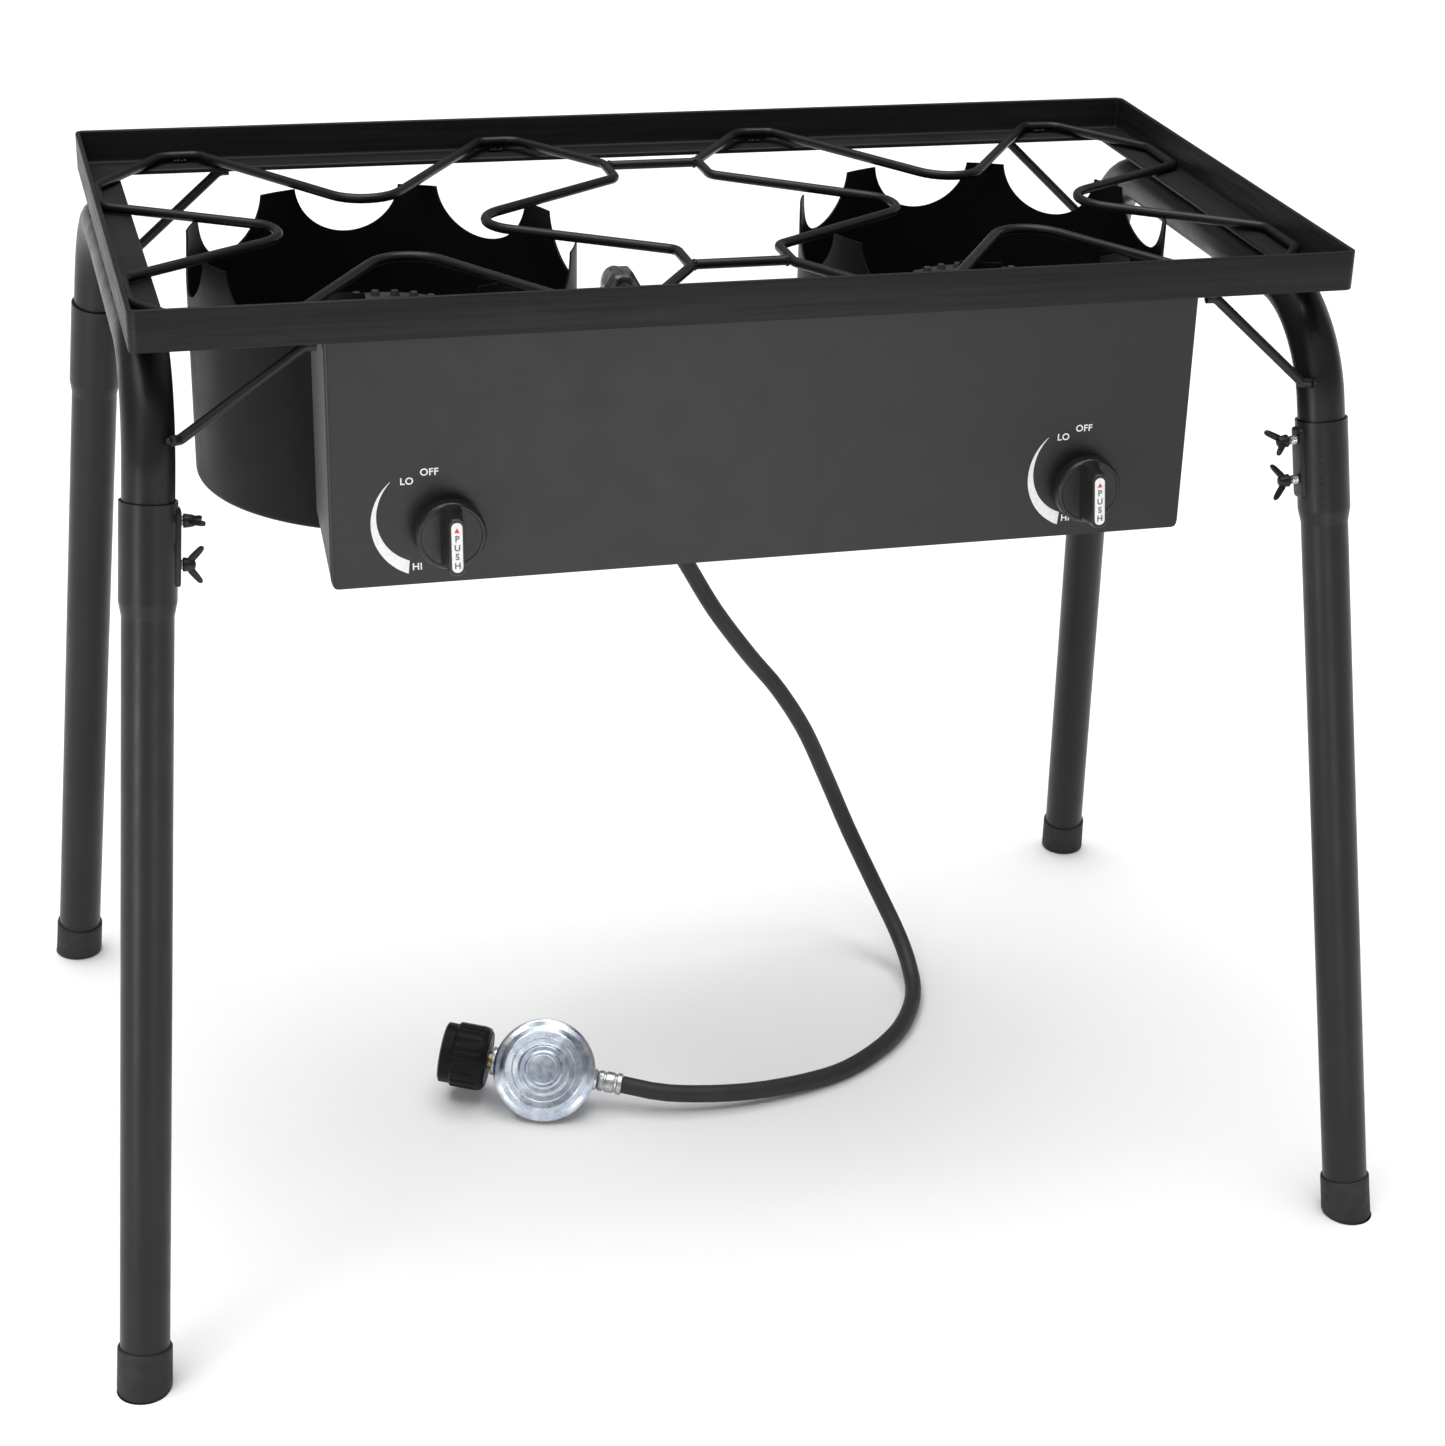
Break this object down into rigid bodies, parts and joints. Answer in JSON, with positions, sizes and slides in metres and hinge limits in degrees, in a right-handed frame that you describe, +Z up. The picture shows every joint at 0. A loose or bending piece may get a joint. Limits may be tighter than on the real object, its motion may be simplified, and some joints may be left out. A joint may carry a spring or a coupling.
{
  "type": "propane burner stand",
  "caption": "Outdoor propane burner stand: angle-iron top with star pot rings, wind guards and cast burners, knob panel, splayed plug-in legs with wing screws, hose and regulator.",
  "frame": {"origin": "on the floor, at the middle of the four feet", "axes": "+X to the right of someone at the knobs, -Y towards the knob side, +Z up"},
  "size_m": [0.8688, 0.6048, 0.678],
  "materials": {
    "black_coat": "satin black powder coat on steel",
    "panel_coat": "smooth satin charcoal coat on sheet steel",
    "cast_iron": "rough grey cast iron",
    "black_plastic": "moulded black plastic",
    "rubber": "matt black rubber",
    "zinc": "bright zinc plate",
    "brass": "turned brass"
  },
  "bodies": {
    "stand": {"top_frame": "black_coat", "side_tube_left": "black_coat", "side_tube_right": "black_coat", "brace_front_left": "black_coat", "brace_front_right": "black_coat", "brace_back_left": "black_coat", "brace_back_right": "black_coat", "pot_ring_left": "black_coat", "pot_ring_right": "black_coat", "link_rod_front": "black_coat", "link_rod_back": "black_coat", "wind_guard_left": "black_coat", "wind_guard_right": "black_coat", "burner_left": "cast_iron", "burner_right": "cast_iron", "valve_body_left": "brass", "valve_body_right": "brass", "gas_manifold": "black_coat", "inlet_nut": "zinc", "inlet_elbow": "zinc", "hose_ferrule_inlet": "zinc", "gas_hose": "rubber", "hose_ferrule_regulator": "zinc", "regulator_body": "zinc", "regulator_cover": "zinc", "tank_nipple": "brass", "front_panel": "panel_coat"},
    "left_valve_press": {"stem_washer_left": "zinc"},
    "left_knob": {"valve_stem_left": "brass", "knob_left": "black_plastic"},
    "left_air_shutter": {"air_shutter_left": "zinc"},
    "right_valve_press": {"stem_washer_right": "zinc"},
    "right_knob": {"valve_stem_right": "brass", "knob_right": "black_plastic"},
    "right_air_shutter": {"air_shutter_right": "zinc"},
    "front_left_leg": {"lower_leg_front_left": "black_coat", "foot_front_left": "rubber"},
    "front_left_low_shank": {"screw_shank_front_left_low": "zinc"},
    "front_left_low_wing": {"wing_head_front_left_low": "black_coat"},
    "front_left_high_shank": {"screw_shank_front_left_high": "zinc"},
    "front_left_high_wing": {"wing_head_front_left_high": "black_coat"},
    "front_right_leg": {"lower_leg_front_right": "black_coat", "foot_front_right": "rubber"},
    "front_right_low_shank": {"screw_shank_front_right_low": "zinc"},
    "front_right_low_wing": {"wing_head_front_right_low": "black_coat"},
    "front_right_high_shank": {"screw_shank_front_right_high": "zinc"},
    "front_right_high_wing": {"wing_head_front_right_high": "black_coat"},
    "back_left_leg": {"lower_leg_back_left": "black_coat", "foot_back_left": "rubber"},
    "back_left_low_shank": {"screw_shank_back_left_low": "zinc"},
    "back_left_low_wing": {"wing_head_back_left_low": "black_coat"},
    "back_left_high_shank": {"screw_shank_back_left_high": "zinc"},
    "back_left_high_wing": {"wing_head_back_left_high": "black_coat"},
    "back_right_leg": {"lower_leg_back_right": "black_coat", "foot_back_right": "rubber"},
    "back_right_low_shank": {"screw_shank_back_right_low": "zinc"},
    "back_right_low_wing": {"wing_head_back_right_low": "black_coat"},
    "back_right_high_shank": {"screw_shank_back_right_high": "zinc"},
    "back_right_high_wing": {"wing_head_back_right_high": "black_coat"},
    "hand_nut": {"hand_nut": "black_plastic"}
  },
  "joints": [
    {"name": "left_knob_press", "type": "slide", "parent": "stand", "child": "left_valve_press", "axis": [0, 1, 0], "range_m": [0, 0.0035], "stiffness_N_per_m": 1500, "springref_m": -0.002},
    {"name": "left_knob_turn", "type": "hinge", "parent": "left_valve_press", "child": "left_knob", "pos_m": [-0.201, -0.2145, 0.533], "axis": [0, -1, 0], "range_deg": [0, 170]},
    {"name": "left_air_turn", "type": "hinge", "parent": "stand", "child": "left_air_shutter", "pos_m": [-0.201, -0.15, 0.533], "axis": [0, 1, 0], "range_deg": [0, 90]},
    {"name": "right_knob_press", "type": "slide", "parent": "stand", "child": "right_valve_press", "axis": [0, 1, 0], "range_m": [0, 0.0035], "stiffness_N_per_m": 1500, "springref_m": -0.002},
    {"name": "right_knob_turn", "type": "hinge", "parent": "right_valve_press", "child": "right_knob", "pos_m": [0.206, -0.2145, 0.533], "axis": [0, -1, 0], "range_deg": [0, 170]},
    {"name": "right_air_turn", "type": "hinge", "parent": "stand", "child": "right_air_shutter", "pos_m": [0.206, -0.15, 0.533], "axis": [0, 1, 0], "range_deg": [0, 90]},
    {"name": "front_left_leg_slide", "type": "slide", "parent": "stand", "child": "front_left_leg", "axis": [-0.0753, -0.1651, -0.9834], "range_m": [0, 0.055]},
    {"name": "front_left_low_screw_travel", "type": "slide", "parent": "front_left_leg", "child": "front_left_low_shank", "axis": [0.9972, -0.0125, -0.0743], "range_m": [0, 0.003]},
    {"name": "front_left_low_screw_turn", "type": "hinge", "parent": "front_left_low_shank", "child": "front_left_low_wing", "pos_m": [-0.37748, -0.19827, 0.5225], "axis": [0.9972, -0.0125, -0.0743], "range_deg": [0, 1085]},
    {"name": "front_left_high_screw_travel", "type": "slide", "parent": "front_left_leg", "child": "front_left_high_shank", "axis": [0.9972, -0.0125, -0.0743], "range_m": [0, 0.003]},
    {"name": "front_left_high_screw_turn", "type": "hinge", "parent": "front_left_high_shank", "child": "front_left_high_wing", "pos_m": [-0.3755, -0.19394, 0.5483], "axis": [0.9972, -0.0125, -0.0743], "range_deg": [0, 1085]},
    {"name": "front_right_leg_slide", "type": "slide", "parent": "stand", "child": "front_right_leg", "axis": [0.0753, -0.1651, -0.9834], "range_m": [0, 0.055]},
    {"name": "front_right_low_screw_travel", "type": "slide", "parent": "front_right_leg", "child": "front_right_low_shank", "axis": [-0.9972, -0.0125, -0.0743], "range_m": [0, 0.003]},
    {"name": "front_right_low_screw_turn", "type": "hinge", "parent": "front_right_low_shank", "child": "front_right_low_wing", "pos_m": [0.37721, -0.19768, 0.526], "axis": [-0.9972, -0.0125, -0.0743], "range_deg": [0, 1085]},
    {"name": "front_right_high_screw_travel", "type": "slide", "parent": "front_right_leg", "child": "front_right_high_shank", "axis": [-0.9972, -0.0125, -0.0743], "range_m": [0, 0.003]},
    {"name": "front_right_high_screw_turn", "type": "hinge", "parent": "front_right_high_shank", "child": "front_right_high_wing", "pos_m": [0.37523, -0.19335, 0.5518], "axis": [-0.9972, -0.0125, -0.0743], "range_deg": [0, 1085]},
    {"name": "back_left_leg_slide", "type": "slide", "parent": "stand", "child": "back_left_leg", "axis": [-0.0753, 0.1651, -0.9834], "range_m": [0, 0.055]},
    {"name": "back_left_low_screw_travel", "type": "slide", "parent": "back_left_leg", "child": "back_left_low_shank", "axis": [0.9972, 0.0125, -0.0743], "range_m": [0, 0.003]},
    {"name": "back_left_low_screw_turn", "type": "hinge", "parent": "back_left_low_shank", "child": "back_left_low_wing", "pos_m": [-0.37748, 0.19827, 0.5225], "axis": [0.9972, 0.0125, -0.0743], "range_deg": [0, 1085]},
    {"name": "back_left_high_screw_travel", "type": "slide", "parent": "back_left_leg", "child": "back_left_high_shank", "axis": [0.9972, 0.0125, -0.0743], "range_m": [0, 0.003]},
    {"name": "back_left_high_screw_turn", "type": "hinge", "parent": "back_left_high_shank", "child": "back_left_high_wing", "pos_m": [-0.3755, 0.19394, 0.5483], "axis": [0.9972, 0.0125, -0.0743], "range_deg": [0, 1085]},
    {"name": "back_right_leg_slide", "type": "slide", "parent": "stand", "child": "back_right_leg", "axis": [0.0753, 0.1651, -0.9834], "range_m": [0, 0.055]},
    {"name": "back_right_low_screw_travel", "type": "slide", "parent": "back_right_leg", "child": "back_right_low_shank", "axis": [-0.9972, 0.0125, -0.0743], "range_m": [0, 0.003]},
    {"name": "back_right_low_screw_turn", "type": "hinge", "parent": "back_right_low_shank", "child": "back_right_low_wing", "pos_m": [0.37736, 0.19802, 0.524], "axis": [-0.9972, 0.0125, -0.0743], "range_deg": [0, 1085]},
    {"name": "back_right_high_screw_travel", "type": "slide", "parent": "back_right_leg", "child": "back_right_high_shank", "axis": [-0.9972, 0.0125, -0.0743], "range_m": [0, 0.003]},
    {"name": "back_right_high_screw_turn", "type": "hinge", "parent": "back_right_high_shank", "child": "back_right_high_wing", "pos_m": [0.37539, 0.19369, 0.5498], "axis": [-0.9972, 0.0125, -0.0743], "range_deg": [0, 1085]},
    {"name": "hand_nut_turn", "type": "hinge", "parent": "stand", "child": "hand_nut", "pos_m": [-0.10333, -0.01636, 0.0264], "axis": [-0.9233, 0.3638, 0.1228], "continuous": true}
  ],
  "couplings": [
    {"joint": "front_left_low_screw_turn", "follows": "front_left_low_screw_travel", "rad_per_m": 6283.2},
    {"joint": "front_left_high_screw_turn", "follows": "front_left_high_screw_travel", "rad_per_m": 6283.2},
    {"joint": "front_right_low_screw_turn", "follows": "front_right_low_screw_travel", "rad_per_m": 6283.2},
    {"joint": "front_right_high_screw_turn", "follows": "front_right_high_screw_travel", "rad_per_m": 6283.2},
    {"joint": "back_left_low_screw_turn", "follows": "back_left_low_screw_travel", "rad_per_m": 6283.2},
    {"joint": "back_left_high_screw_turn", "follows": "back_left_high_screw_travel", "rad_per_m": 6283.2},
    {"joint": "back_right_low_screw_turn", "follows": "back_right_low_screw_travel", "rad_per_m": 6283.2},
    {"joint": "back_right_high_screw_turn", "follows": "back_right_high_screw_travel", "rad_per_m": 6283.2}
  ]
}
